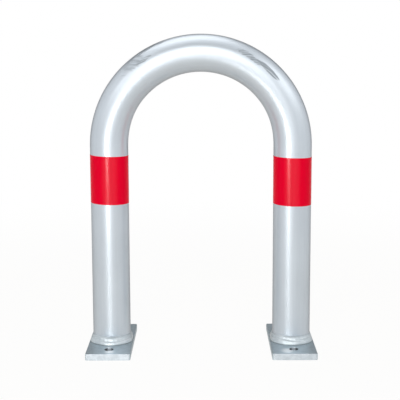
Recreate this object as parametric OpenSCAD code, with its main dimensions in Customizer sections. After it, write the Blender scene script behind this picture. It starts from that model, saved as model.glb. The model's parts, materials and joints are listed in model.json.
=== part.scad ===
// Hoop barrier: a round steel tube bent into an inverted U, welded to two
// drilled base plates, hot-dip galvanised, with a red reflective band on each leg.
// Z is up, the plates stand on Z = 0, and the hoop lies in the XZ plane.

/* [Hoop tube] */
// Outside diameter of the tube
tube_d = 60.3; // [42.4:0.1:60.3]
// Wall thickness of the tube
tube_wall = 2.9; // [2:0.1:5]
// Distance between the centre lines of the legs
leg_spacing = 290; // [200:1:310]
// Height from the floor to the top of the hoop
hoop_h = 500; // [490:1:1000]

/* [Base plates] */
// Width of a plate, across the hoop's feet
plate_w = 70; // [66:1:100]
// Length of a plate, from front to back
plate_l = 160; // [140:1:250]
// Thickness of a plate
plate_t = 10; // [6:1:15]
// Radius of the rolled edges along the flat bar
plate_edge_r = 1; // [0.4:0.1:2]
// Diameter of the anchor bolt holes
bolt_hole_d = 14; // [10:0.5:18]
// Distance between a plate's two anchor bolt holes
bolt_hole_spacing = 112; // [104:1:120]
// Diameter of the zinc drain hole under the tube
drain_hole_d = 20; // [10:1:40]

/* [Weld beads] */
// Height of the bead up the tube
weld_h = 12.5; // [6:0.5:14]
// Reach of the bead over the plate, where the plate has room for it
weld_reach = 8.2; // [5:0.1:12]
// Bulge of the bead, from a flat chamfer at 0 to a full quarter round at 1
weld_bulge = 0.55; // [0.2:0.05:0.9]
// Depth of the groove between the two passes
weld_groove = 0.9; // [0:0.1:1.2]
// Depth of the ripples that the weld pool left
ripple_depth = 0.12; // [0:0.02:0.4]
// Number of ripples round the tube
ripple_count = 32; // [16:1:40]

/* [Reflective bands] */
// Height of the lower edge of the left band above the floor
band_z = 235; // [60:1:245]
// Width of the film
band_h = 76; // [25:1:85]
// How much lower the right band was stuck on
right_band_drop = 3; // [0:0.5:10]
// Thickness of the film
film_t = 0.3; // [0.2:0.05:0.5]
// Length over which the film's ends overlap at the back
film_lap = 12; // [6:1:30]

/* [Hidden] */
tube_r = tube_d / 2;
bend_r = leg_spacing / 2;
bend_z = hoop_h - tube_r - bend_r;
round_fn = 128;

// The bead is a ring of sections. Each section starts inside the tube, from
// which the bore of the bead is then cut, so that the bead seats on the tube.
ring_steps = 160;
section_steps = 9;
start_inside = 0.6;
core_r = tube_r - 3;

// Where a plate's edge cuts the bead's reach short, the bead keeps at least
// this share of its height.
height_kept = 0.85;
reach_wander = 0.5;
height_wander = 0.6;
height_lag = 40;

// The groove between the passes runs at this share of the way from the tube to
// the plate, swings up and down, and has this width.
groove_middle = 0.47;
groove_swing = 0.12;
groove_width = 0.13;

// The middle of each ripple trails behind its ends by this angle of its wave.
ripple_trail = 140;
left_shift = 270;
right_shift = 210;

module bend_ring() {
    translate([0, 0, bend_z])
        rotate([90, 0, 0])
            rotate_extrude(angle = 180, $fn = 2 * round_fn)
                translate([bend_r, 0])
                    difference() {
                        circle(r = tube_r, $fn = round_fn);
                        circle(r = tube_r - tube_wall, $fn = round_fn);
                    }
}

module straight_leg() {
    translate([0, 0, plate_t])
        linear_extrude(height = bend_z - plate_t)
            difference() {
                circle(r = tube_r, $fn = round_fn);
                circle(r = tube_r - tube_wall, $fn = round_fn);
            }
}

// One length of tube, with both legs cut square where they meet the plates.
module hoop_tube() {
    color("#c3cdd6")
        union() {
            bend_ring();
            translate([-bend_r, 0, 0]) straight_leg();
            translate([bend_r, 0, 0]) straight_leg();
        }
}

// The section of rolled flat bar: square ends, and rounded edges along it.
module flat_bar_section() {
    inner_w = plate_w - 2 * plate_edge_r;
    inner_t = plate_t - 2 * plate_edge_r;
    translate([-inner_w / 2, 0]) square([inner_w, plate_t]);
    translate([-plate_w / 2, plate_edge_r]) square([plate_w, inner_t]);
    for (x = [-1, 1], z = [plate_edge_r, plate_t - plate_edge_r])
        translate([x * inner_w / 2, z])
            circle(r = plate_edge_r, $fn = 32);
}

module base_plate() {
    past = 1;
    difference() {
        translate([0, plate_l / 2, 0])
            rotate([90, 0, 0])
                linear_extrude(height = plate_l)
                    flat_bar_section();
        for (y = [-1, 1])
            translate([0, y * bolt_hole_spacing / 2, -past])
                cylinder(d = bolt_hole_d, h = plate_t + 2 * past, $fn = 64);
        translate([0, 0, -past])
            cylinder(d = drain_hole_d, h = plate_t + 2 * past, $fn = 64);
    }
}

module left_base_plate() {
    color("#9fb0bb")
        translate([-bend_r, 0, 0]) base_plate();
}

module right_base_plate() {
    color("#9fb0bb")
        translate([bend_r, 0, 0]) base_plate();
}

// Slow waves in the bead, which a hand-held torch leaves. The shift sets the
// two beads apart.
function wander(a, shift) = sin(2 * a + shift) * 0.5 + sin(5 * a + 2 * shift) * 0.3;

// A minimum of two lengths that passes smoothly from one to the other.
function soft_min(a, b) = 1 / pow(pow(1 / a, 4) + pow(1 / b, 4), 1 / 4);

// The flat of the plate that is left beside the tube in one direction.
function plate_room(a) = (plate_w / 2 - plate_edge_r) / max(abs(cos(a)), 0.01) - tube_r;

function bead_reach(a, shift) = soft_min(weld_reach + reach_wander * wander(a, shift), plate_room(a));

function bead_height(a, shift) =
    let (share = height_kept + (1 - height_kept) * bead_reach(a, shift) / weld_reach)
    weld_h * share + height_wander * wander(a + height_lag, shift);

// How far the bead's face stands out of its even curve at angle a, where t
// runs from 0 at the tube to 1 at the plate: ripples, less the groove.
function relief(a, t, shift) =
    let (pool = ripple_depth * cos(ripple_count * a + ripple_trail * sin(180 * t)),
         groove_t = groove_middle + groove_swing * sin(2 * a + shift),
         groove = weld_groove * exp(-pow((t - groove_t) / groove_width, 2)))
    sin(180 * t) * (pool - groove * bead_reach(a, shift) / weld_reach);

function bead_point(a, t, shift) =
    let (reach = bead_reach(a, shift),
         height = bead_height(a, shift),
         out = reach * ((1 - weld_bulge) * t + weld_bulge * sin(90 * t)),
         up = height * ((1 - weld_bulge) * (1 - t) + weld_bulge * cos(90 * t)),
         face = relief(a, t, shift) / norm([reach, height]))
    [tube_r + out + face * height, max(plate_t + up + face * reach, plate_t)];

function bead_section(a, shift) = concat(
    [[core_r, plate_t], [core_r, plate_t + bead_height(a, shift)]],
    [[tube_r - start_inside, plate_t + bead_height(a, shift) + start_inside / 2]],
    [for (i = [1 : section_steps]) bead_point(a, i / section_steps, shift)]
);

module bead(shift) {
    size = section_steps + 3;
    sections = [for (k = [0 : ring_steps - 1]) bead_section(k * 360 / ring_steps, shift)];
    points = [
        for (k = [0 : ring_steps - 1], p = sections[k])
            let (a = k * 360 / ring_steps)
            [p[0] * cos(a), p[0] * sin(a), p[1]]
    ];
    faces = [
        for (k = [0 : ring_steps - 1], i = [0 : size - 1])
            let (here = k * size,
                 next = ((k + 1) % ring_steps) * size,
                 j = (i + 1) % size)
            each [[here + i, here + j, next + j], [here + i, next + j, next + i]]
    ];
    difference() {
        polyhedron(points, faces, convexity = 4);
        cylinder(r = tube_r, h = plate_t + 2 * weld_h, $fn = round_fn);
    }
}

module left_weld_bead() {
    color("#b4c2cc")
        translate([-bend_r, 0, 0]) bead(left_shift);
}

module right_weld_bead() {
    color("#b4c2cc")
        translate([bend_r, 0, 0]) bead(right_shift);
}

// The film goes once round the tube, and its free end laps over the start.
module red_band() {
    lap_angle = 360 * film_lap / (PI * tube_d);
    linear_extrude(height = band_h)
        difference() {
            circle(r = tube_r + film_t, $fn = round_fn);
            circle(r = tube_r, $fn = round_fn);
        }
    rotate([0, 0, 90 - lap_angle / 2])
        rotate_extrude(angle = lap_angle, $fn = round_fn)
            translate([tube_r + film_t / 2, 0])
                square([film_t * 3 / 2, band_h]);
}

module left_red_band() {
    color("#e3022c")
        translate([-bend_r, 0, band_z]) red_band();
}

module right_red_band() {
    color("#e3022c")
        translate([bend_r, 0, band_z - right_band_drop]) red_band();
}

hoop_tube();
left_base_plate();
right_base_plate();
left_weld_bead();
right_weld_bead();
left_red_band();
right_red_band();
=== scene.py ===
# %% [markdown]
# # A galvanised hoop barrier
# A steel tube is bent into an inverted U, welded to two drilled plates and dipped in molten zinc. Red
# reflective film is then stuck round each leg. This lesson builds the hoop in the frame of its CAD model:
# first the measures, then the camera and the studio, then the finishes, then one piece after another.

# %% Load the frame
import json
import math

import bmesh
import bpy
from mathutils import Matrix, Vector


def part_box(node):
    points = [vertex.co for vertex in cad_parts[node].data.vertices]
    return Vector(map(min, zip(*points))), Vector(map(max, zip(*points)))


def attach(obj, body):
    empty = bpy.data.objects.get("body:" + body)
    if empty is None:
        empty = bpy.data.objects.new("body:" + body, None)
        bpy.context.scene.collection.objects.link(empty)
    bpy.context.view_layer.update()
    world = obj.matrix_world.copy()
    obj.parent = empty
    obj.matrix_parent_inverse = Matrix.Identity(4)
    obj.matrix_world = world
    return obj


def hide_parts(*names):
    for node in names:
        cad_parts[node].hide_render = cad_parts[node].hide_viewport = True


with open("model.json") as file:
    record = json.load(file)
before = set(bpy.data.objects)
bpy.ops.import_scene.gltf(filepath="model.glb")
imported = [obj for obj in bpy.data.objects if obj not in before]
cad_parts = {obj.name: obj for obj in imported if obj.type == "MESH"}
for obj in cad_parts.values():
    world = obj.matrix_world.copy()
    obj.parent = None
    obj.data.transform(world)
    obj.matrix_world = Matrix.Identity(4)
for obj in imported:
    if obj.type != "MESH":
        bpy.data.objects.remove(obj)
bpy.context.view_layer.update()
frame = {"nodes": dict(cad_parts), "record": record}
scene = bpy.context.scene
print("nodes:", ", ".join(sorted(frame["nodes"])))

# %% [markdown]
# ## Measures
# The sizes could all be typed in, but a typed copy goes wrong as soon as the CAD model changes. So they come
# from the boxes of its nodes and from the bolt pattern in its record. Only what these can't give is typed,
# such as the wall of the tube. Blender works in metres, so a millimetre gets a name of its own.

# %% Read the measures from the frame
MM = 0.001
tube_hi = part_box("hoop_tube")[1]
plate_lo, plate_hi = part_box("left_base_plate")
bolts = next(m for m in frame["record"]["mounts"] if m["name"] == "anchor_bolts")["dims"]

BEND_R = bolts["spacing_x_mm"] / 2 * MM
TUBE_R = 60.3 / 2 * MM
TUBE_WALL = 2.9 * MM
PLATE_T = round(plate_hi.z, 5)
PLATE_W = round(plate_hi.x - plate_lo.x, 5)
PLATE_L = round(plate_hi.y - plate_lo.y, 5)
HOOP_H = round(tube_hi.z, 3)
BEND_Z = HOOP_H - TUBE_R - BEND_R
LEG_L = BEND_Z - PLATE_T
HOLE_R = bolts["hole_r_mm"] * MM
HOLE_Y = bolts["spacing_y_mm"] / 2 * MM
DRAIN_R = 10 * MM
SIDES = {"left": -BEND_R, "right": BEND_R}
print(f"hoop {HOOP_H / MM:.0f} mm high, legs {2 * BEND_R / MM:.0f} mm apart, {LEG_L / MM:.1f} mm straight")
print(f"plates {PLATE_L / MM:.0f} x {PLATE_W / MM:.0f} x {PLATE_T / MM:.0f} mm")

# %% [markdown]
# ## Camera
# The hoop was photographed from the front, from about its own height, with a longish lens. A camera can be
# pointed at a target, but three small angles say more exactly how it stood: pitch looks down, yaw looks
# aside, and roll tips the picture by a hair. A focal length in pixels turns into a lens in millimetres
# through the width of the picture.

# %% Place the camera
PICTURE_PX = 400
FOCAL_PX = 978.8
SENSOR_MM = 36.0
HORIZON_SHIFT = -0.075
CAMERA_PLACE = (0.0050, -1.5371, 0.5011)
PITCH, YAW, ROLL = 0.1391, -0.0037, -0.0034
camera_data = bpy.data.cameras.new("camera")
camera_data.sensor_width = SENSOR_MM
camera_data.lens = FOCAL_PX * SENSOR_MM / PICTURE_PX
camera_data.shift_y = HORIZON_SHIFT
camera = bpy.data.objects.new("camera", camera_data)
camera.location = CAMERA_PLACE
camera.rotation_euler = (math.pi / 2 - PITCH, -ROLL, -YAW)
scene.collection.objects.link(camera)
scene.camera = camera
print(f"lens {camera_data.lens:.1f} mm, looking down {math.degrees(PITCH):.1f} degrees")

# %% [markdown]
# ## Helpers for nodes
# Every material here is a net of nodes. In a script each node takes a line to make it and one more for every
# setting and link, so the steps that come back again and again are helpers. Whole materials could be helpers
# too, but then a reader would no longer see the net.

# %% Make and link nodes
def add(nodes, kind, **settings):
    """A new node with some of its settings and inputs filled in."""
    node = nodes.new(kind)
    for name, value in settings.items():
        if hasattr(node, name):
            setattr(node, name, value)
        else:
            node.inputs[name.replace("_", " ")].default_value = value
    return node


def wire(links, sockets, values):
    """Links each socket to its value if that is another node's output, or else sets it."""
    for socket, value in zip(sockets, values):
        if isinstance(value, bpy.types.NodeSocket):
            links.new(value, socket)
        elif value is not None:
            socket.default_value = value


def maths(nodes, links, operation, a, b=None):
    """A sum of numbers, each a socket or a value; returns its output socket."""
    node = add(nodes, "ShaderNodeMath", operation=operation)
    wire(links, node.inputs, (a, b))
    return node.outputs[0]


def vector_maths(nodes, links, operation, a, b=None):
    """The same with vectors; a length comes out as a number."""
    node = add(nodes, "ShaderNodeVectorMath", operation=operation)
    wire(links, node.inputs, (a, b))
    return node.outputs["Value" if operation == "LENGTH" else "Vector"]


# %% Turn values into masks and mixes
def ramp(nodes, links, value, start, stop, low=0.0, high=1.0, kind="LINEAR"):
    """What goes from start to stop in value goes from low to high in the output."""
    node = add(nodes, "ShaderNodeMapRange", interpolation_type=kind)
    wire(links, node.inputs, (value, start, stop, low, high))
    return node.outputs["Result"]


def blend(nodes, links, mask, a, b):
    """A colour that is a where the mask is 0 and b where it is 1."""
    node = add(nodes, "ShaderNodeMix", data_type="RGBA")
    wire(links, (node.inputs["Factor"], node.inputs["A"], node.inputs["B"]), (mask, a, b))
    return node.outputs["Result"]


def blend_shaders(nodes, links, mask, a, b):
    """The same with whole shaders."""
    node = add(nodes, "ShaderNodeMixShader")
    wire(links, node.inputs, (mask, a, b))
    return node.outputs["Shader"]


# %% [markdown]
# ## World
# A packshot stands in front of a white sweep. A bright white world would give that, but it would also flood
# the hoop with light and wash out its greys. So the world is plain white only where the camera or a
# reflection looks straight at it, and gives a softer, even light to everything else. The Light Path node
# tells the two kinds of ray apart.

# %% Light path helper
def sees_backdrop(nodes, links):
    """A factor that is 1 for rays that show the backdrop itself: camera, glossy and transmission rays."""
    path = nodes.new("ShaderNodeLightPath")
    either = maths(nodes, links, "MAXIMUM", path.outputs["Is Camera Ray"], path.outputs["Is Glossy Ray"])
    return maths(nodes, links, "MAXIMUM", either, path.outputs["Is Transmission Ray"])


# %% Build the world
WHITE = (1.0, 1.0, 1.0, 1.0)
FILL_TINT = (0.96, 0.98, 1.0, 1.0)
FILL_LEVEL = 0.48
world = bpy.data.worlds.new("white sweep")
world.use_nodes = True
scene.world = world
nodes, links = world.node_tree.nodes, world.node_tree.links
nodes.clear()
fill = add(nodes, "ShaderNodeBackground", Color=FILL_TINT, Strength=FILL_LEVEL)
white = add(nodes, "ShaderNodeBackground", Color=WHITE, Strength=1.0)
factor = sees_backdrop(nodes, links)
sky = blend_shaders(nodes, links, factor, fill.outputs["Background"], white.outputs["Background"])
links.new(sky, nodes.new("ShaderNodeOutputWorld").inputs["Surface"])
scene.view_settings.view_transform = "Standard"
print("world: white backdrop, fill light", FILL_LEVEL)

# %% [markdown]
# ## Floor
# The floor is a pale sheet that reaches out under the sweep. A white plane would do, but its far edge would
# show as a line. A wide disc doesn't, because it melts into the world's white with the distance from the
# hoop. Close to the hoop it stays matt, and keeps the shadow of the plates. Metal also sees the floor at a
# very low angle, where even a dull sheet shines. So near the feet, and for reflections only, a polish is
# mixed in. It draws the bright stripe at the foot of each leg.

# %% Floor material
FLOOR_TINT = (0.95, 0.90, 0.80, 1.0)
FADE_NEAR, FADE_FAR = 0.45, 1.5
SEEN_NEAR, MIRRORED_NEAR = 0.94, 0.45
floor_mat = bpy.data.materials.new("pale floor")
floor_mat.use_nodes = True
nodes, links = floor_mat.node_tree.nodes, floor_mat.node_tree.links
nodes.clear()
matt = add(nodes, "ShaderNodeBsdfDiffuse", Color=FLOOR_TINT)
sweep = add(nodes, "ShaderNodeEmission", Color=WHITE)
path = nodes.new("ShaderNodeLightPath")
reach = vector_maths(nodes, links, "LENGTH", nodes.new("ShaderNodeTexCoord").outputs["Object"])
near = ramp(nodes, links, path.outputs["Is Camera Ray"], 0.0, 1.0, MIRRORED_NEAR, SEEN_NEAR)
fade = ramp(nodes, links, reach, FADE_NEAR, FADE_FAR, near, 1.0, "SMOOTHSTEP")
shown = maths(nodes, links, "MULTIPLY", fade, sees_backdrop(nodes, links))
print(f"floor: matt up to {FADE_NEAR} m from the hoop, white from {FADE_FAR} m")

# %% Polish the floor for reflections
POLISH, POLISH_ROUGH = 0.7, 0.15
POLISH_NEAR, POLISH_FAR = 0.35, 0.65
polish = add(nodes, "ShaderNodeBsdfGlossy", Color=WHITE, Roughness=POLISH_ROUGH)
slope = add(nodes, "ShaderNodeLayerWeight", Blend=0.5).outputs["Facing"]
grazing = maths(nodes, links, "MULTIPLY", slope, slope)
close = ramp(nodes, links, reach, POLISH_FAR, POLISH_NEAR, 0.0, POLISH)
mirrored = maths(nodes, links, "MULTIPLY", path.outputs["Is Glossy Ray"], close)
shine = maths(nodes, links, "MULTIPLY", grazing, mirrored)
sheet = blend_shaders(nodes, links, shine, matt.outputs["BSDF"], polish.outputs["BSDF"])
ground = blend_shaders(nodes, links, shown, sheet, sweep.outputs["Emission"])
links.new(ground, nodes.new("ShaderNodeOutputMaterial").inputs["Surface"])
print(f"floor polish: full within {POLISH_NEAR} m, none beyond {POLISH_FAR} m")


# %% Lay the floor
FLOOR_R, FLOOR_SIDES = 6.0, 96


def studio_object(name, bm, material):
    """Turns a bmesh into an object of the studio."""
    mesh = bpy.data.meshes.new(name)
    bm.to_mesh(mesh)
    bm.free()
    mesh.materials.append(material)
    made = bpy.data.objects.new(name, mesh)
    scene.collection.objects.link(made)
    return made


bm = bmesh.new()
bmesh.ops.create_circle(bm, cap_ends=True, segments=FLOOR_SIDES, radius=FLOOR_R)
floor = studio_object("floor", bm, floor_mat)
print(f"floor: a disc {2 * FLOOR_R:.0f} m wide")

# %% [markdown]
# ## Lamps
# Bright metal shows its lamps, so their shape matters more than their power. Point lamps would leave only
# sparks on the tube; area lamps leave bands. The key is a large round softbox before the hoop, a little to
# the left: on the arch it is a broad white band, and on the legs only its narrow lower rim shows, as a
# stripe. A second softbox hangs above and a little behind. Most places are given as angles seen from the
# crown, because that is how a reflection finds a lamp.

# %% Softbox helpers
LAMP_TINT = (1.0, 0.98, 0.945)
CROWN = Vector((0.0, 0.0, HOOP_H))


def softbox(name, place, aim, size, radiance, shape="RECTANGLE"):
    """A soft area lamp of the given brightness, aimed at a point and hidden from the camera."""
    data = bpy.data.lights.new(name, "AREA")
    data.shape = shape
    data.size, data.size_y = size
    area = size[0] * size[1] * (math.pi / 4 if shape == "ELLIPSE" else 1.0)
    data.energy = radiance * math.pi * area
    data.color = LAMP_TINT
    lamp = bpy.data.objects.new(name, data)
    lamp.location = place
    lamp.rotation_euler = (Vector(aim) - Vector(place)).to_track_quat("-Z", "Y").to_euler()
    lamp.visible_camera = False
    scene.collection.objects.link(lamp)
    print(f"{name}: {size[0]:.1f} x {size[1]:.1f} m, {data.energy:.1f} W")
    return lamp


def around(azimuth, elevation, distance):
    """A point seen from the crown: azimuth from the front towards the right, elevation above the level."""
    az, el = math.radians(azimuth), math.radians(elevation)
    out = math.cos(el)
    return CROWN + distance * Vector((math.sin(az) * out, -math.cos(az) * out, math.sin(el)))


# %% Hang the key and the top softbox
KEY_PLACE, KEY_SIZE, KEY_LEVEL = around(-3.8, 21.2, 1.72), (1.54, 1.75), 2.03
TOP_PLACE, TOP_SIZE, TOP_LEVEL = (-0.155, 0.43, 1.75), (1.30, 1.15), 1.14
softbox("key softbox", KEY_PLACE, CROWN, KEY_SIZE, KEY_LEVEL, "ELLIPSE")
softbox("top softbox", TOP_PLACE, CROWN, TOP_SIZE, TOP_LEVEL)

# %% [markdown]
# The shoulders of the arch turn away from both softboxes and would go grey. A brighter key would lift them
# and burn out the rest. Two softboxes at the sides, dimmer than the key, do it gently. They are switched off
# for diffuse light, so they show in reflections and light nothing else.

# %% Stand the wings
WING_DISTANCE = 1.70
WINGS = [
    # azimuth and elevation from the crown, width, height, radiance
    ("left wing", -46.0, 30.0, 0.70, 0.95, 1.40),
    ("right wing", 66.0, 30.0, 1.50, 1.00, 1.15),
]
for name, azimuth, elevation, width, height, radiance in WINGS:
    wing_place = around(azimuth, elevation, WING_DISTANCE)
    wing = softbox(name, wing_place, CROWN, (width, height), radiance)
    wing.visible_diffuse = False

# %% [markdown]
# The legs and the film carry a narrow stripe at their left. A leg mirrors a thin slice of the studio, and
# what it mirrors there is low down, between the camera and the hoop. So two small lamps stand near the
# floor: the upper one is strong, because the stripe is brightest on the film, and the lower one is weak.
# They too show in reflections only.

# %% Stand the strip lamps
STRIPS = [
    # place, width, lowest and highest point, radiance
    ("upper strip lamp", (-0.27, -0.80), 0.21, 0.17, 0.28, 15.0),
    ("lower strip lamp", (-0.19, -0.836), 0.12, 0.0, 0.14, 4.0),
]
for name, (x, y), width, low, high, radiance in STRIPS:
    middle = (low + high) / 2
    strip = softbox(name, (x, y, middle), (0.0, 0.0, middle), (width, high - low), radiance)
    strip.visible_diffuse = False

# %% [markdown]
# A thin grey line runs over the crown, between the reflection of the key and that of the top softbox. The
# line could be painted, but then it would stay there from every side. A real studio hangs a black card
# between the lamps, and so does this one. The card shows in reflections only and throws no shadow.

# %% Hang the dark card
CARD_W, CARD_H = 2.4, 0.43
CARD_PLACE = around(0.0, 50.2, 1.38)
CARD_BLACK = (0.02, 0.02, 0.02, 1.0)
CARD_ROUGH = 0.9


def reflections_only(thing):
    """Hides a thing from the camera and from diffuse light, and takes away its shadow."""
    thing.visible_camera = False
    thing.visible_shadow = False
    thing.visible_diffuse = False


card_mat = bpy.data.materials.new("dark card")
card_mat.use_nodes = True
shader = card_mat.node_tree.nodes["Principled BSDF"]
shader.inputs["Base Color"].default_value = CARD_BLACK
shader.inputs["Roughness"].default_value = CARD_ROUGH
bm = bmesh.new()
bmesh.ops.create_grid(bm, x_segments=1, y_segments=1, size=0.5)
bmesh.ops.scale(bm, vec=(CARD_W, CARD_H, 1.0), verts=bm.verts)
facing = (CROWN - CARD_PLACE).to_track_quat("Z", "Y").to_matrix().to_4x4()
bmesh.ops.transform(bm, matrix=Matrix.Translation(CARD_PLACE) @ facing, verts=bm.verts)
card = studio_object("dark card", bm, card_mat)
reflections_only(card)
print(f"dark card: {CARD_W:.1f} x {CARD_H:.1f} m")

# %% [markdown]
# Pale metal before a white ground loses its outline. A photographer stands grey flags round the back, just
# outside the picture, and the rims of the metal mirror them as a thin dark line. Here they may stand in the
# picture, because the camera doesn't see them. Two upright edges are spun into curved screens that meet
# behind the hoop, and they glow in an even grey, so that no lamp changes their tone.

# %% Stand the side flags
FLAG_R, FLAG_H = 2.6, 3.0
FLAG_FROM, FLAG_TO = 140, 180
FLAG_STEPS = 24
FLAG_GREY = (0.25, 0.25, 0.25, 1.0)
flag_mat = bpy.data.materials.new("side flags")
flag_mat.use_nodes = True
nodes, links = flag_mat.node_tree.nodes, flag_mat.node_tree.links
nodes.clear()
glow = add(nodes, "ShaderNodeEmission", Color=FLAG_GREY)
links.new(glow.outputs["Emission"], nodes.new("ShaderNodeOutputMaterial").inputs["Surface"])
bm = bmesh.new()
for side in (-1, 1):
    start = math.radians(FLAG_FROM * side - 90)
    foot = bm.verts.new((FLAG_R * math.cos(start), FLAG_R * math.sin(start), 0.0))
    head = bm.verts.new((foot.co.x, foot.co.y, FLAG_H))
    post = bm.edges.new((foot, head))
    turn = math.radians((FLAG_TO - FLAG_FROM) * side)
    bmesh.ops.spin(
        bm, geom=[foot, head, post], cent=(0, 0, 0), axis=(0, 0, 1), angle=turn, steps=FLAG_STEPS
    )
flags = studio_object("side flags", bm, flag_mat)
reflections_only(flags)
print(f"side flags: from {FLAG_FROM} to {FLAG_TO} degrees on each side")

# %% [markdown]
# ## The zinc skin
# Hot-dip zinc is a satin metal, never one even grey. Three things vary over it: slow clouds, where the
# layer cooled at its own pace; fine runs along the tube, where it drained; and a low swell, which bends the
# reflections a little. Tube, plates and weld share them. Each could have its own nodes, but one node group
# keeps them alike, and each material gives it its own colours and scale. The coordinates come from outside,
# because on the tube they follow the bend.

# %% Group helper
def new_group(name, inputs, outputs):
    """An empty shader node group with named sockets, and its two ends."""
    group = bpy.data.node_groups.new(name, "ShaderNodeTree")
    for label, kind, value in inputs:
        socket = group.interface.new_socket(name=label, in_out="INPUT", socket_type=kind)
        if value is not None:
            socket.default_value = value
    for label, kind in outputs:
        group.interface.new_socket(name=label, in_out="OUTPUT", socket_type=kind)
    start = group.nodes.new("NodeGroupInput")
    end = group.nodes.new("NodeGroupOutput")
    return group, start, end


# %% Build the zinc group
RUN_STRETCH = (1.0, 1.0, 0.05)
zinc, start, end = new_group(
    "zinc skin",
    [
        ("Place", "NodeSocketVector", None),
        ("Bright", "NodeSocketColor", (0.62, 0.66, 0.70, 1.0)),
        ("Dull", "NodeSocketColor", (0.52, 0.56, 0.60, 1.0)),
        ("Smoothest", "NodeSocketFloat", 0.26),
        ("Roughest", "NodeSocketFloat", 0.36),
        ("Cloud Scale", "NodeSocketFloat", 16.0),
        ("Runs", "NodeSocketFloat", 0.35),
    ],
    [("Color", "NodeSocketColor"), ("Roughness", "NodeSocketFloat"), ("Height", "NodeSocketFloat")],
)
nodes, links = zinc.nodes, zinc.links
spot = start.outputs["Place"]
cloud = add(nodes, "ShaderNodeTexNoise", Detail=3.0, Roughness=0.55)
links.new(spot, cloud.inputs["Vector"])
links.new(start.outputs["Cloud Scale"], cloud.inputs["Scale"])
runs = add(nodes, "ShaderNodeTexNoise", Scale=260.0, Detail=2.0, Roughness=0.6)
links.new(vector_maths(nodes, links, "MULTIPLY", spot, RUN_STRETCH), runs.inputs["Vector"])
mixed = add(nodes, "ShaderNodeMix", data_type="FLOAT")
links.new(start.outputs["Runs"], mixed.inputs["Factor"])
links.new(cloud.outputs["Fac"], mixed.inputs["A"])
links.new(runs.outputs["Fac"], mixed.inputs["B"])
spread = ramp(nodes, links, mixed.outputs["Result"], 0.3, 0.7)
tone = blend(nodes, links, spread, start.outputs["Bright"], start.outputs["Dull"])
links.new(tone, end.inputs["Color"])
rough = ramp(nodes, links, spread, 0.0, 1.0, start.outputs["Smoothest"], start.outputs["Roughest"])
links.new(rough, end.inputs["Roughness"])
swell = add(nodes, "ShaderNodeTexNoise", Scale=45.0, Detail=1.5, Roughness=0.4)
links.new(spot, swell.inputs["Vector"])
links.new(swell.outputs["Fac"], end.inputs["Height"])
print("zinc group:", len(nodes), "nodes")

# %% [markdown]
# A pure metal shader mirrors too sharply for zinc, and a matt one looks painted. The skin of real zinc is
# something between: dull metal under a thin, half-clear crust. So the shader is about two thirds metal, with
# a rough coat on top.

# %% Metal material
METALLIC = 0.69
COAT_IOR = 1.47
COAT_ROUGH = 0.40


def metal(name, place, bright, dull, rough, cloud_scale, runs, swell_mm, edge, coat):
    """A zinc-coated steel. place makes the node that gives the coordinates; edge dims grazing reflections."""
    mat = bpy.data.materials.new(name)
    mat.use_nodes = True
    nodes, links = mat.node_tree.nodes, mat.node_tree.links
    shader = nodes["Principled BSDF"]
    skin = nodes.new("ShaderNodeGroup")
    skin.node_tree = zinc
    skin.inputs["Bright"].default_value = (*bright, 1.0)
    skin.inputs["Dull"].default_value = (*dull, 1.0)
    skin.inputs["Smoothest"].default_value, skin.inputs["Roughest"].default_value = rough
    skin.inputs["Cloud Scale"].default_value = cloud_scale
    skin.inputs["Runs"].default_value = runs
    links.new(place(nodes), skin.inputs["Place"])
    bump = add(nodes, "ShaderNodeBump", Distance=swell_mm * MM, Strength=1.0)
    links.new(skin.outputs["Height"], bump.inputs["Height"])
    links.new(skin.outputs["Color"], shader.inputs["Base Color"])
    links.new(skin.outputs["Roughness"], shader.inputs["Roughness"])
    links.new(bump.outputs["Normal"], shader.inputs["Normal"])
    shader.inputs["Metallic"].default_value = METALLIC
    shader.inputs["Specular Tint"].default_value = (edge, edge, edge, 1.0)
    shader.inputs["Coat Weight"].default_value = coat
    shader.inputs["Coat IOR"].default_value = COAT_IOR
    shader.inputs["Coat Roughness"].default_value = COAT_ROUGH
    return mat


def object_place(nodes):
    """The coordinates of the piece itself."""
    return nodes.new("ShaderNodeTexCoord").outputs["Object"]


def unbent_place(nodes):
    """The coordinates that a point had in the straight tube."""
    return add(nodes, "ShaderNodeAttribute", attribute_name="unbent").outputs["Vector"]


# %% Mix the three zincs
tube_zinc = metal(
    "galvanised tube",
    unbent_place,
    bright=(0.59, 0.652, 0.72),
    dull=(0.53, 0.587, 0.65),
    rough=(0.34, 0.40),
    cloud_scale=14.0,
    runs=0.4,
    swell_mm=0.10,
    edge=0.0,
    coat=1.0,
)
plate_zinc = metal(
    "galvanised plate",
    object_place,
    bright=(0.63, 0.735, 0.80),
    dull=(0.505, 0.61, 0.675),
    rough=(0.30, 0.42),
    cloud_scale=90.0,
    runs=0.1,
    swell_mm=0.20,
    edge=0.3,
    coat=0.5,
)
weld_zinc = metal(
    "galvanised weld",
    object_place,
    bright=(0.56, 0.62, 0.66),
    dull=(0.44, 0.50, 0.54),
    rough=(0.42, 0.52),
    cloud_scale=60.0,
    runs=0.0,
    swell_mm=0.15,
    edge=0.6,
    coat=0.6,
)
print("metals:", tube_zinc.name, plate_zinc.name, weld_zinc.name, sep=", ")

# %% [markdown]
# ## Marks of the making, and painted light and shade
# The bending die and the saw leave their marks on the zinc. Light and shade are painted in the same way: a
# painted reflection beside the holes, painted shade and a strip of painted light in the hole walls, and
# painted shade at the weld toe. They could be separate materials on separate faces, but such borders are hard
# lines. Here each mark is a mask over one material, and two helpers lay a colour or more roughness over what
# is there already.

# %% Paint helpers
def paint(nodes, links, shader, mask, colour):
    """Lays a colour over the shader's base colour where the mask is 1."""
    under = shader.inputs["Base Color"].links[0].from_socket
    links.new(blend(nodes, links, mask, under, colour), shader.inputs["Base Color"])


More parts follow.
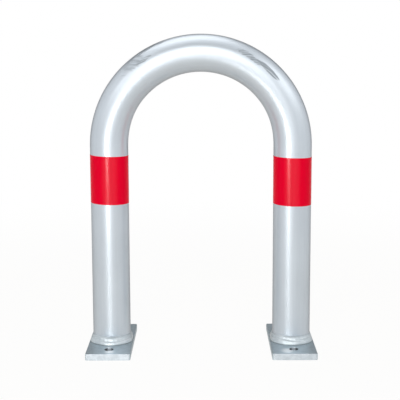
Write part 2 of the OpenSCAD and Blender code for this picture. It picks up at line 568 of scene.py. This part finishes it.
def roughen(nodes, links, shader, mask, amount):
    """Adds an amount to the shader's roughness where the mask is 1."""
    under = shader.inputs["Roughness"].links[0].from_socket
    more = maths(nodes, links, "MULTIPLY", mask, amount)
    links.new(maths(nodes, links, "ADD", under, more), shader.inputs["Roughness"])


# %% [markdown]
# The bending die presses hardest on the shoulders of the bend and rubs the steel there. Zinc takes unevenly
# on a rubbed face, so each shoulder shows dull, feathered patches. A patch is an ellipse on the unrolled
# tube, given by its place along the tube and round it. A painted picture could show it, but the ellipse
# needs no picture and follows the bend. The absolute depth makes the marks the same on the front and on the
# back, because the die holds the tube from both sides.

# %% Begin the die mark group
marks, start, end = new_group(
    "die mark",
    [
        ("Place", "NodeSocketVector", None),
        ("Along", "NodeSocketFloat", 0.45),
        ("Round", "NodeSocketFloat", 0.02),
        ("Length", "NodeSocketFloat", 0.03),
        ("Width", "NodeSocketFloat", 0.01),
        ("Slant", "NodeSocketFloat", 0.0),
        ("Streak Slant", "NodeSocketFloat", 0.0),
        ("Ragged", "NodeSocketFloat", 1.0),
        ("Strength", "NodeSocketFloat", 1.0),
    ],
    [("Mask", "NodeSocketFloat")],
)
nodes, links = marks.nodes, marks.links
asked = start.outputs
axes = nodes.new("ShaderNodeSeparateXYZ")
links.new(asked["Place"], axes.inputs["Vector"])
depth = maths(nodes, links, "ABSOLUTE", axes.outputs["Y"])
angle = maths(nodes, links, "ARCTAN2", axes.outputs["X"], depth)
arc = maths(nodes, links, "MULTIPLY", angle, TUBE_R)
off_along = maths(nodes, links, "SUBTRACT", axes.outputs["Z"], asked["Along"])
lean = maths(nodes, links, "MULTIPLY", off_along, asked["Slant"])
off_arc = maths(nodes, links, "SUBTRACT", arc, asked["Round"])
off_round = maths(nodes, links, "SUBTRACT", off_arc, lean)
across = nodes.new("ShaderNodeCombineXYZ")
links.new(maths(nodes, links, "DIVIDE", off_along, asked["Length"]), across.inputs["X"])
links.new(maths(nodes, links, "DIVIDE", off_round, asked["Width"]), across.inputs["Y"])
away = vector_maths(nodes, links, "LENGTH", across.outputs["Vector"])
print("die mark ellipse:", len(nodes), "nodes")

# %% [markdown]
# The streaks inside a patch are noise, stretched along the tube and turned a little off its axis. A second
# noise on the same coordinates makes its border as ragged as the patch asks.

# %% Draw the streaks of a die mark
GRAIN_STRETCH = 0.08
FAINTEST = 0.15
rise = maths(nodes, links, "MULTIPLY", off_along, asked["Streak Slant"])
grain = nodes.new("ShaderNodeCombineXYZ")
links.new(maths(nodes, links, "SUBTRACT", arc, rise), grain.inputs["X"])
links.new(maths(nodes, links, "MULTIPLY", off_along, GRAIN_STRETCH), grain.inputs["Y"])
streak = add(nodes, "ShaderNodeTexNoise", Scale=300.0, Detail=2.0, Roughness=0.5)
links.new(grain.outputs["Vector"], streak.inputs["Vector"])
wave = maths(nodes, links, "SUBTRACT", streak.outputs["Fac"], 0.5)
ragged_wave = maths(nodes, links, "MULTIPLY", wave, asked["Ragged"])
ragged_away = maths(nodes, links, "ADD", away, ragged_wave)
inside = ramp(nodes, links, ragged_away, 1.15, 0.85, kind="SMOOTHSTEP")
lines = add(nodes, "ShaderNodeTexNoise", Scale=420.0, Detail=1.0, Roughness=0.5)
links.new(grain.outputs["Vector"], lines.inputs["Vector"])
depth_of_tone = ramp(nodes, links, lines.outputs["Fac"], 0.42, 0.58, 1.0, FAINTEST)
toned = maths(nodes, links, "MULTIPLY", inside, depth_of_tone)
links.new(maths(nodes, links, "MULTIPLY", toned, asked["Strength"]), end.inputs["Mask"])
print("die mark group:", len(nodes), "nodes")

# %% [markdown]
# Each patch on the tube is one use of that group. Where two patches overlap the stronger mask wins, and it
# turns the zinc darker and a little rougher.

# %% Put the die marks on the tube
TUBE_L = 2 * LEG_L + math.pi * BEND_R
RUBBED = (0.25, 0.285, 0.32, 1.0)
RUBBED_ROUGHER = 0.10
MARKS = [
    # place along the tube from its middle in mm, angle from the front in degrees, half length and half
    # width in mm, slant of the patch, slant of its streaks, raggedness, strength
    (-78, 68, 30, 5.0, 0.0, 0.3, 1.4, 1.3),
    (-101, 47, 17, 10.5, 0.0, -1.3, 1.6, 0.68),
    (-86, 33, 14, 3.4, 0.0, -0.3, 0.8, 0.95),
    (66, 32, 14, 4.5, -0.10, 0.6, 2.0, 1.0),
    (82, 27, 10, 3.8, 0.0, 0.6, 1.6, 1.2),
    (104, 29, 21, 4.2, -0.05, 0.1, 0.8, 2.4),
]
nodes, links = tube_zinc.node_tree.nodes, tube_zinc.node_tree.links
shader = nodes["Principled BSDF"]
place = unbent_place(nodes)
total = None
for along_mm, degrees, half_l, half_w, slant, streak_slant, ragged, strength in MARKS:
    mark = nodes.new("ShaderNodeGroup")
    mark.node_tree = marks
    mark.inputs["Along"].default_value = TUBE_L / 2 + along_mm * MM
    mark.inputs["Round"].default_value = math.radians(degrees) * TUBE_R
    mark.inputs["Length"].default_value = half_l * MM
    mark.inputs["Width"].default_value = half_w * MM
    mark.inputs["Slant"].default_value = slant
    mark.inputs["Streak Slant"].default_value = streak_slant
    mark.inputs["Ragged"].default_value = ragged
    mark.inputs["Strength"].default_value = strength
    links.new(place, mark.inputs["Place"])
    mask = mark.outputs["Mask"]
    total = mask if total is None else maths(nodes, links, "MAXIMUM", total, mask)
paint(nodes, links, shader, total, RUBBED)
roughen(nodes, links, shader, total, RUBBED_ROUGHER)
print("die marks:", len(MARKS))

# %% [markdown]
# The short ends of a plate are where the bar was sawn off. Zinc takes differently on a sawn face than on
# the rolled skin, and sets there paler, rougher and a little blotchy. The ends are found by how far they lie
# from the middle of the plate. The right plate's ends are a shade duller, and as both plates share one
# material, the place across the hoop says which is which.

# %% Pale sawn ends
END_BAND = 0.4 * MM
SAWN_ROUGHER = 0.25
SAWN_DULL, SAWN_PALE = (0.595, 0.66, 0.72, 1.0), (0.69, 0.755, 0.82, 1.0)
RIGHT_END = 0.90
nodes, links = plate_zinc.node_tree.nodes, plate_zinc.node_tree.links
shader = nodes["Principled BSDF"]
where = nodes.new("ShaderNodeSeparateXYZ")
links.new(object_place(nodes), where.inputs["Vector"])
distance = maths(nodes, links, "ABSOLUTE", where.outputs["Y"])
at_end = ramp(nodes, links, distance, PLATE_L / 2 - 2 * END_BAND, PLATE_L / 2 - END_BAND)
patches = add(nodes, "ShaderNodeTexNoise", Scale=140.0, Detail=3.0, Roughness=0.6)
links.new(object_place(nodes), patches.inputs["Vector"])
mottle = ramp(nodes, links, patches.outputs["Fac"], 0.38, 0.62)
sawn = add(nodes, "ShaderNodeVectorMath", operation="SCALE")
links.new(blend(nodes, links, mottle, SAWN_DULL, SAWN_PALE), sawn.inputs["Vector"])
links.new(ramp(nodes, links, where.outputs["X"], -BEND_R, BEND_R, 1.0, RIGHT_END), sawn.inputs["Scale"])
paint(nodes, links, shader, at_end, sawn.outputs["Vector"])
roughen(nodes, links, shader, at_end, SAWN_ROUGHER)
print("plate ends: the last", END_BAND / MM, "mm")

# %% [markdown]
# Beside the holes the plate's face is painted pale: a painted reflection of the leg's bright stripe in the
# plate, and behind the left plate's front hole a painted highlight on its rim. Each is a soft ellipse on the
# plate's face: the left plate has a broad one before its front hole and a small one behind it, and the right
# plate has a larger one before and beside its own. They are painted before the walls of the holes, which then
# stay dark.

# %% Painted reflections by the holes
# the colour of the painted reflection and highlight beside the holes
PAINTED_REFLECTION_TINT = (0.93, 0.97, 1.0, 1.0)
PAINTED_REFLECTIONS = [
    # centre across and along the plates, half width and half length, all in mm
    (-143.0, -68.5, 11, 10),
    (-146.0, -45.5, 5, 4),
    (134.0, -63.5, 13, 16),
]
places = object_place(nodes)
painted_reflection = None
for across_mm, along_mm, half_w, half_l in PAINTED_REFLECTIONS:
    centre = (across_mm * MM, along_mm * MM, 0.0)
    shape = (1 / (half_w * MM), 1 / (half_l * MM), 0.0)
    off = vector_maths(nodes, links, "SUBTRACT", places, centre)
    far = vector_maths(nodes, links, "LENGTH", vector_maths(nodes, links, "MULTIPLY", off, shape))
    soft = ramp(nodes, links, far, 1.0, 0.25, kind="SMOOTHSTEP")
    painted_reflection = soft if painted_reflection is None else maths(nodes, links, "ADD", painted_reflection, soft)
# painted reflection and highlight: pale patches laid next to the holes
paint(nodes, links, shader, painted_reflection, PAINTED_REFLECTION_TINT)
print("tongues:", len(PAINTED_REFLECTIONS))

# %% [markdown]
# The walls of a drilled hole see little light, and that shade is painted: each wall is coloured dark. A strip
# down the near and the far side of each wall is painted light instead, where light from the floor comes
# through the hole. Both plates share one material, so the four bolt holes are found at once: the distance
# from the nearest one is the length of what is left after the hole's place is taken off the absolute
# coordinates.

# %% Painted shade in the hole walls, with a strip of painted light
HOLE_RIM = 0.1 * MM
LIT_STRIP_W = 4.0 * MM
# the painted shade of the hole walls and the painted light down their near and far sides
HOLE_PAINTED_SHADE, HOLE_PAINTED_LIGHT = (0.20, 0.23, 0.25, 1.0), (0.66, 0.72, 0.79, 1.0)
mirrored_place = vector_maths(nodes, links, "ABSOLUTE", object_place(nodes))
from_hole = vector_maths(nodes, links, "SUBTRACT", mirrored_place, (BEND_R, HOLE_Y, 0.0))
flat = vector_maths(nodes, links, "MULTIPLY", from_hole, (1.0, 1.0, 0.0))
radius = vector_maths(nodes, links, "LENGTH", flat)
in_hole = ramp(nodes, links, radius, HOLE_R + HOLE_RIM, HOLE_R + HOLE_RIM / 2)
aside = nodes.new("ShaderNodeSeparateXYZ")
links.new(flat, aside.inputs["Vector"])
off_axis = maths(nodes, links, "ABSOLUTE", aside.outputs["X"])
in_lit_strip = ramp(nodes, links, off_axis, LIT_STRIP_W, LIT_STRIP_W / 2)
# painted shade over each hole wall, and painted light down its near and far side
paint(nodes, links, shader, in_hole, blend(nodes, links, in_lit_strip, HOLE_PAINTED_SHADE, HOLE_PAINTED_LIGHT))
print(f"holes: dull within {(HOLE_R + HOLE_RIM) / MM:.1f} mm of their axes")

# %% [markdown]
# The toe of a weld is the line where its metal ends on the plate. Shade falls into that narrow corner, and it
# is painted: the last millimetre or two of the bead is coloured dark. The height above the plate is mask
# enough.

# %% Painted shade at the weld toe
TOE_FULLY_SHADED, TOE_UNSHADED = 0.8 * MM, 1.6 * MM
TOE_PAINTED_SHADE = (0.20, 0.24, 0.26, 1.0)
nodes, links = weld_zinc.node_tree.nodes, weld_zinc.node_tree.links
where = nodes.new("ShaderNodeSeparateXYZ")
links.new(object_place(nodes), where.inputs["Vector"])
toe_shade_mask = ramp(nodes, links, where.outputs["Z"], PLATE_T + TOE_UNSHADED, PLATE_T + TOE_FULLY_SHADED)
# painted shade: the bead is coloured dark at its toe, where it meets the plate
paint(nodes, links, nodes["Principled BSDF"], toe_shade_mask, TOE_PAINTED_SHADE)
print("weld toe: dark up to", round(TOE_UNSHADED / MM, 1), "mm above the plate")

# %% [markdown]
# ## The red film
# Reflective film is a clear plastic over a coloured layer. The red is deep and even, and film pulled round a
# tube shows faint streaks along it, in its colour and in its surface. The plastic adds the soft stripe of
# the lamp. A plain gloss would also veil the red at the sides of the band, where the film is seen at a
# slant and the real one stays deep. So the plastic is a clear coat that Layer Weight thins out quickly away
# from head-on, and the layer under it hardly shines.

# %% Film material
FILM_STRETCH = (1.0, 1.0, 0.04)
DEEP_RED, DULL_RED = (0.94, 0.001, 0.032, 1.0), (0.88, 0.001, 0.028, 1.0)
RIDGE_H = 0.02 * MM
FILM_ROUGH = 0.20
film = bpy.data.materials.new("red film")
film.use_nodes = True
nodes, links = film.node_tree.nodes, film.node_tree.links
shader = nodes["Principled BSDF"]
streak_place = add(nodes, "ShaderNodeMapping", Scale=FILM_STRETCH)
links.new(object_place(nodes), streak_place.inputs["Vector"])
streaks = add(nodes, "ShaderNodeTexNoise", Scale=420.0, Detail=2.0, Roughness=0.5)
links.new(streak_place.outputs["Vector"], streaks.inputs["Vector"])
red = blend(nodes, links, streaks.outputs["Fac"], DEEP_RED, DULL_RED)
links.new(red, shader.inputs["Base Color"])
ridges = add(nodes, "ShaderNodeBump", Distance=RIDGE_H, Strength=1.0)
links.new(streaks.outputs["Fac"], ridges.inputs["Height"])
links.new(ridges.outputs["Normal"], shader.inputs["Normal"])
shader.inputs["Roughness"].default_value = FILM_ROUGH
print("film:", film.name)

# %% Give the film its clear coat
COAT_HEAD_ON = 0.54
facing = add(nodes, "ShaderNodeLayerWeight", Blend=0.5).outputs["Facing"]
coat = ramp(nodes, links, facing, 0.02, 0.12, COAT_HEAD_ON, 0.0)
links.new(coat, shader.inputs["Coat Weight"])
shader.inputs["Coat Roughness"].default_value = FILM_ROUGH
shader.inputs["Specular IOR Level"].default_value = 0.03
shader.inputs["Specular Tint"].default_value = (1.0, 0.78, 0.60, 1.0)
print("clear coat: weight", COAT_HEAD_ON, "where the film is seen head-on")

# %% [markdown]
# ## Pieces
# A piece is a mesh at the origin whose place is in its vertices. One helper turns a finished bmesh into an
# object, shades it smooth up to a given crease, gives it its material, hangs it under the root body and hides
# the CAD node that it stands for.

# %% Piece helper
TOUCH = 0.01 * MM  # points closer than this are one point


def finish_piece(name, bm, material, node, crease):
    """Turns a bmesh into a smooth-shaded piece that replaces a CAD node. The crease is in degrees."""
    mesh = bpy.data.meshes.new(name)
    bm.normal_update()
    for edge in bm.edges:
        edge.smooth = len(edge.link_faces) == 2 and edge.calc_face_angle(0.0) < math.radians(crease)
    for face in bm.faces:
        face.smooth = True
    bm.to_mesh(mesh)
    bm.free()
    mesh.materials.append(material)
    piece = bpy.data.objects.new(name, mesh)
    scene.collection.objects.link(piece)
    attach(piece, "root")
    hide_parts(node)
    triangles = sum(len(p.vertices) - 2 for p in mesh.polygons)
    print(f"{name}: {triangles} triangles, stands for {node}")


# %% [markdown]
# ## The bent tube
# The hoop is one length of tube, bent round a die. It could be a curve with a round bevel, but a curve can't
# be flattened on one side or carry coordinates of its own. So the mesh is made as a bender works: a ring at
# the left foot is extruded up the leg, spun over the top and extruded down again.

# %% Sweep the tube
RING = 112
LEG_STEPS = 40
BEND_STEPS = 128
bm = bmesh.new()
ring = bmesh.ops.create_circle(bm, cap_ends=False, segments=RING, radius=TUBE_R)["verts"]
bmesh.ops.translate(bm, vec=(-BEND_R, 0.0, PLATE_T), verts=ring)
front = bm.edges[:]


def pull(bm, edges, step, count):
    """Extrudes a ring of edges count times by the same step, and returns the last ring."""
    for _ in range(count):
        made = bmesh.ops.extrude_edge_only(bm, edges=edges)["geom"]
        bmesh.ops.translate(bm, vec=step, verts=[g for g in made if isinstance(g, bmesh.types.BMVert)])
        edges = [g for g in made if isinstance(g, bmesh.types.BMEdge)]
        edges = [e for e in edges if all(v in made for v in e.verts)]
    return edges


front = pull(bm, front, (0.0, 0.0, LEG_L / LEG_STEPS), LEG_STEPS)
spun = bmesh.ops.spin(
    bm, geom=front, cent=(0.0, 0.0, BEND_Z), axis=(0.0, 1.0, 0.0), angle=math.pi, steps=BEND_STEPS
)
front = [g for g in spun["geom_last"] if isinstance(g, bmesh.types.BMEdge)]
front = pull(bm, front, (0.0, 0.0, -LEG_L / LEG_STEPS), LEG_STEPS)
bmesh.ops.remove_doubles(bm, verts=bm.verts, dist=TOUCH)
bmesh.ops.recalc_face_normals(bm, faces=bm.faces)
print("tube skin:", len(bm.faces), "faces")

# %% [markdown]
# Bending stretches the outside of a tube and squeezes its inside, which ends up a little flat. The points on
# the inner half move outwards, the most at the very inside, and the flattening fades out where the legs
# begin. A lattice could do the same, but here one line says how much each point moves.

# %% Flatten the inside of the bend
FLATTEN = 1.3 * MM
FADE_ANGLE = math.radians(35)


def smooth_step(t):
    """Goes from 0 to 1 with t, level at both ends."""
    t = min(max(t, 0.0), 1.0)
    return t * t * (3 - 2 * t)


for v in bm.verts:
    if v.co.z > BEND_Z:
        angle = math.atan2(v.co.z - BEND_Z, v.co.x)
        share = smooth_step(min(angle, math.pi - angle) / FADE_ANGLE)
        spoke = Vector((math.cos(angle), 0.0, math.sin(angle)))
        inward = BEND_R - math.hypot(v.co.x, v.co.z - BEND_Z)
        if inward > 0:
            v.co += spoke * (FLATTEN * share * (inward / TUBE_R) ** 2)
print(f"bend: flattened by {FLATTEN / MM:.1f} mm on its inside")

# %% [markdown]
# The wall comes next, by solidify. Each vertex then keeps a second set of coordinates, the place it had in
# the straight tube. Object coordinates would cut straight through the bend, and the zinc's runs with them;
# with these, the runs and the die marks follow it.

# %% Give the tube its wall and its unbent coordinates
bmesh.ops.solidify(bm, geom=bm.faces[:], thickness=TUBE_WALL)
unbent = bm.verts.layers.float_vector.new("unbent")
BEND_L = math.pi * BEND_R
for v in bm.verts:
    if v.co.z > BEND_Z:
        turned = math.atan2(v.co.z - BEND_Z, -v.co.x)
        outward = math.hypot(v.co.x, v.co.z - BEND_Z) - BEND_R
        v[unbent] = Vector((outward, v.co.y, LEG_L + BEND_R * turned))
    elif v.co.x < 0:
        v[unbent] = Vector((-v.co.x - BEND_R, v.co.y, v.co.z - PLATE_T))
    else:
        v[unbent] = Vector((v.co.x - BEND_R, v.co.y, LEG_L + BEND_L + BEND_Z - v.co.z))
radii = [math.hypot(v[unbent].x, v[unbent].y) / MM for v in bm.verts]
print(f"tube walls between radius {min(radii):.2f} and {max(radii):.2f} mm")
finish_piece("hoop_tube_skin", bm, tube_zinc, "hoop_tube", 60.0)

# %% [markdown]
# ## The base plates
# A plate is flat bar with three holes in a row: an anchor bolt at each end and, under the tube, the hole that
# lets zinc and air through. A boolean would cut them and leave long, thin faces that shade badly. So each
# third of the plate is a rectangle bridged to a circle, and the thirds are merged and pulled up to the
# plate's thickness.

# %% Lay out one third of a plate
SIDE_CUTS = 12


def holed_cell(bm, y, length, radius):
    """A rectangle across the plate, length long and centred at y, with a round hole in its middle."""
    made = bmesh.ops.create_grid(bm, x_segments=SIDE_CUTS, y_segments=SIDE_CUTS, size=0.5)["verts"]
    inner = [v for v in made if not v.is_boundary]
    bmesh.ops.delete(bm, geom=inner, context="VERTS")
    frame_verts = [v for v in made if v.is_valid]
    frame_edges = list({e for v in frame_verts for e in v.link_edges})
    bmesh.ops.scale(bm, vec=(PLATE_W, length, 1.0), verts=frame_verts)
    hole = bmesh.ops.create_circle(bm, cap_ends=False, segments=4 * SIDE_CUTS, radius=radius)["verts"]
    bmesh.ops.rotate(bm, cent=(0, 0, 0), matrix=Matrix.Rotation(math.pi / 4, 3, "Z"), verts=hole)
    hole_edges = list({e for v in hole for e in v.link_edges})
    bmesh.ops.bridge_loops(bm, edges=frame_edges + hole_edges)
    bmesh.ops.translate(bm, vec=(0.0, y, 0.0), verts=frame_verts + hole)


# %% [markdown]
# Rolled bar has rounded long edges, a sawn end has a sharp one with the burr filed off, and the four upright
# corners are knocked round. One bevel for all would miss that, so there are three, one after another. The
# last one takes in the rims of the holes too.

# %% Build the plates
CORNER_BEVEL, CORNER_STEPS = 3.2 * MM, 10
EDGE_BEVEL, EDGE_STEPS = 0.9 * MM, 4
SAWN_BEVEL, SAWN_STEPS = 0.35 * MM, 2
SQUARE_EDGE = math.radians(60)
SHARP_EDGE = math.radians(50)


def soften(bm, edges, offset, steps):
    """Rounds some edges of a plate."""
    bmesh.ops.bevel(
        bm, geom=edges, offset=offset, affect="EDGES", segments=steps, profile=0.5, material=-1,
        clamp_overlap=True,
    )


def plate_mesh(x):
    """One drilled plate with softened edges, centred at x."""
    bm = bmesh.new()
    end_l = 2 * (PLATE_L / 2 - HOLE_Y)
    holed_cell(bm, -HOLE_Y, end_l, HOLE_R)
    holed_cell(bm, 0.0, PLATE_L - 2 * end_l, DRAIN_R)
    holed_cell(bm, HOLE_Y, end_l, HOLE_R)
    bmesh.ops.remove_doubles(bm, verts=bm.verts, dist=TOUCH)
    raised = bmesh.ops.extrude_face_region(bm, geom=bm.faces[:])["geom"]
    raised = [g for g in raised if isinstance(g, bmesh.types.BMVert)]
    bmesh.ops.translate(bm, vec=(0.0, 0.0, PLATE_T), verts=raised)
    bmesh.ops.recalc_face_normals(bm, faces=bm.faces)
    corner = PLATE_W / 2 + PLATE_L / 2 - TOUCH
    corners = [e for e in bm.edges if all(abs(v.co.x) + abs(v.co.y) > corner for v in e.verts)]
    soften(bm, corners, CORNER_BEVEL, CORNER_STEPS)
    rims = [e for e in bm.edges if e.calc_face_angle(0.0) > SQUARE_EDGE]
    rolled = [e for e in rims if all(abs(abs(v.co.x) - PLATE_W / 2) < TOUCH for v in e.verts)]
    rolled = [e for e in rolled if abs(e.verts[0].co.y - e.verts[1].co.y) > TOUCH]
    soften(bm, rolled, EDGE_BEVEL, EDGE_STEPS)
    rims = [e for e in bm.edges if e.calc_face_angle(0.0) > SHARP_EDGE]
    soften(bm, rims, SAWN_BEVEL, SAWN_STEPS)
    bmesh.ops.translate(bm, vec=(x, 0.0, 0.0), verts=bm.verts)
    return bm


for side, x in SIDES.items():
    plate = plate_mesh(x)
    finish_piece(f"{side}_plate_skin", plate, plate_zinc, f"{side}_base_plate", 10.0)

# %% [markdown]
# ## The weld beads
# A fillet weld is a bead of metal with a face that bulges a little, a groove where two passes meet, and small
# waves from the torch. It could be a ring with a bump map, but its outline shows against the plate, so the
# waves have to be real. First comes the shape: radius and height of a point of the bead's face, from its
# angle round the leg and its place across the bead.

# %% Shape of a bead
BEAD_H = 12.5 * MM
BEAD_REACH = 8.2 * MM
BEAD_ROOM = PLATE_W / 2 - 1.0 * MM
BULGE = 0.55
WOBBLE_OUT, WOBBLE_UP, WOBBLE_LAG = 0.5 * MM, 0.6 * MM, 0.7
POOLS, POOL_H, POOL_BOW = 32, 0.12 * MM, 2.4
GROOVE_AT, GROOVE_STRAY, GROOVE_W, GROOVE_DEPTH = 0.47, 0.12, 0.13, 0.9 * MM


def wander(angle, shift):
    """A slow, uneven wave round the leg."""
    return 0.5 * math.sin(2 * angle + shift) + 0.3 * math.sin(5 * angle + 2 * shift)


def soft_min(a, b):
    """The smaller of two lengths, rounded off where they are alike."""
    return (a**-4 + b**-4) ** -0.25


def bead_point(angle, t, shift):
    """Radius and height above the plate of the bead's face; t runs from 0 at the tube to 1 at the toe."""
    room = BEAD_ROOM / max(abs(math.cos(angle)), 0.01) - TUBE_R
    reach = soft_min(BEAD_REACH + WOBBLE_OUT * wander(angle, shift), room)
    share = reach / BEAD_REACH
    height = BEAD_H * (0.85 + 0.15 * share) + WOBBLE_UP * wander(angle + WOBBLE_LAG, shift)
    across = math.pi * t / 2
    out = reach * ((1 - BULGE) * t + BULGE * math.sin(across))
    up = height * ((1 - BULGE) * (1 - t) + BULGE * math.cos(across))
    pool = POOL_H * math.cos(POOLS * angle + POOL_BOW * math.sin(math.pi * t))
    groove_t = GROOVE_AT + GROOVE_STRAY * math.sin(2 * angle + shift)
    groove = GROOVE_DEPTH * share * math.exp(-(((t - groove_t) / GROOVE_W) ** 2))
    face = math.sin(math.pi * t) * (pool - groove) / math.hypot(reach, height)
    return TUBE_R + out + face * height, max(up + face * reach, 0.0)


print(f"bead: {BEAD_H / MM:.1f} mm up the tube, {BEAD_REACH / MM:.1f} mm over the plate")

# %% [markdown]
# The mesh starts as a strip of edges that stands on the tube, closed through the root inside its wall. It is
# spun once round the leg, and each point then moves to where the shape says. The two beads were begun at
# different places, so the waves of each are shifted by an angle of its own.

# %% Spin the beads
BEAD_STEPS = 288
BEAD_ROWS = 20
BEAD_TOUCH = 0.001 * MM
BEAD_ROOT = 0.4 * MM
BEAD_SHIFTS = {"left": math.radians(270), "right": math.radians(210)}


def bead_mesh(x, shift):
    """A closed ring of weld metal round the leg at x."""
    bm = bmesh.new()
    first = [bm.verts.new((TUBE_R - BEAD_ROOT, 0.0, 0.0))]
    first += [bm.verts.new((TUBE_R, 0.0, 1.0 - i / BEAD_ROWS)) for i in range(BEAD_ROWS + 1)]
    strip = [bm.edges.new((a, b)) for a, b in zip(first, first[1:] + first[:1])]
    bmesh.ops.spin(
        bm, geom=strip, cent=(0, 0, 0), axis=(0, 0, 1), angle=2 * math.pi, steps=BEAD_STEPS, use_merge=True
    )
    for v in bm.verts:
        angle = math.atan2(v.co.y, v.co.x)
        if math.hypot(v.co.x, v.co.y) < TUBE_R - BEAD_ROOT / 2:
            radius, z = TUBE_R - BEAD_ROOT, 0.0
        else:
            radius, z = bead_point(angle, 1.0 - v.co.z, shift)
        v.co = (radius * math.cos(angle), radius * math.sin(angle), z)
    bmesh.ops.remove_doubles(bm, verts=bm.verts, dist=BEAD_TOUCH)
    bmesh.ops.recalc_face_normals(bm, faces=bm.faces)
    bmesh.ops.translate(bm, vec=(x, 0.0, PLATE_T), verts=bm.verts)
    return bm


for side, x in SIDES.items():
    bead = bead_mesh(x, BEAD_SHIFTS[side])
    finish_piece(f"{side}_weld_skin", bead, weld_zinc, f"{side}_weld_bead", 50.0)

# %% [markdown]
# ## The red bands
# A band is a flat strip of film, wrapped once round the leg with its end stuck over its start at the back, so
# the strip is a little longer than the way round. A plain ring would hide that, and a hand-stuck strip is
# never dead level: both of these lean by a degree or two. Wrapping moves each point of a flat grid onto the
# tube, and the film's thickness comes last.

# %% Wrap the bands
FILM_T = 0.3 * MM
LAP, LAP_STEP = 12 * MM, 2 * MM
LEAN = 0.03
STRIP_STEPS, STRIP_ROWS = 192, 16


def band_mesh(x, low, high):
    """A strip of film wrapped round the leg at x between two heights, lapped at the back."""
    round_l = 2 * math.pi * TUBE_R
    bm = bmesh.new()
    bmesh.ops.create_grid(bm, x_segments=STRIP_STEPS, y_segments=STRIP_ROWS, size=0.5)
    for v in bm.verts:
        along = (v.co.x + 0.5) * (round_l + LAP)
        angle = math.pi / 2 - LAP / TUBE_R / 2 + along / TUBE_R
        over = smooth_step((along - round_l + LAP_STEP) / LAP_STEP)
        radius = TUBE_R + FILM_T * (1 + over)
        z = (low + high) / 2 + v.co.y * (high - low) - LEAN * radius * math.cos(angle)
        v.co = (x + radius * math.cos(angle), radius * math.sin(angle), z)
    bmesh.ops.recalc_face_normals(bm, faces=bm.faces)
    bmesh.ops.solidify(bm, geom=bm.faces[:], thickness=FILM_T)
    return bm


for side, x in SIDES.items():
    lo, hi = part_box(f"{side}_red_band")
    finish_piece(f"{side}_band_film", band_mesh(x, lo.z, hi.z), film, f"{side}_red_band", 50.0)
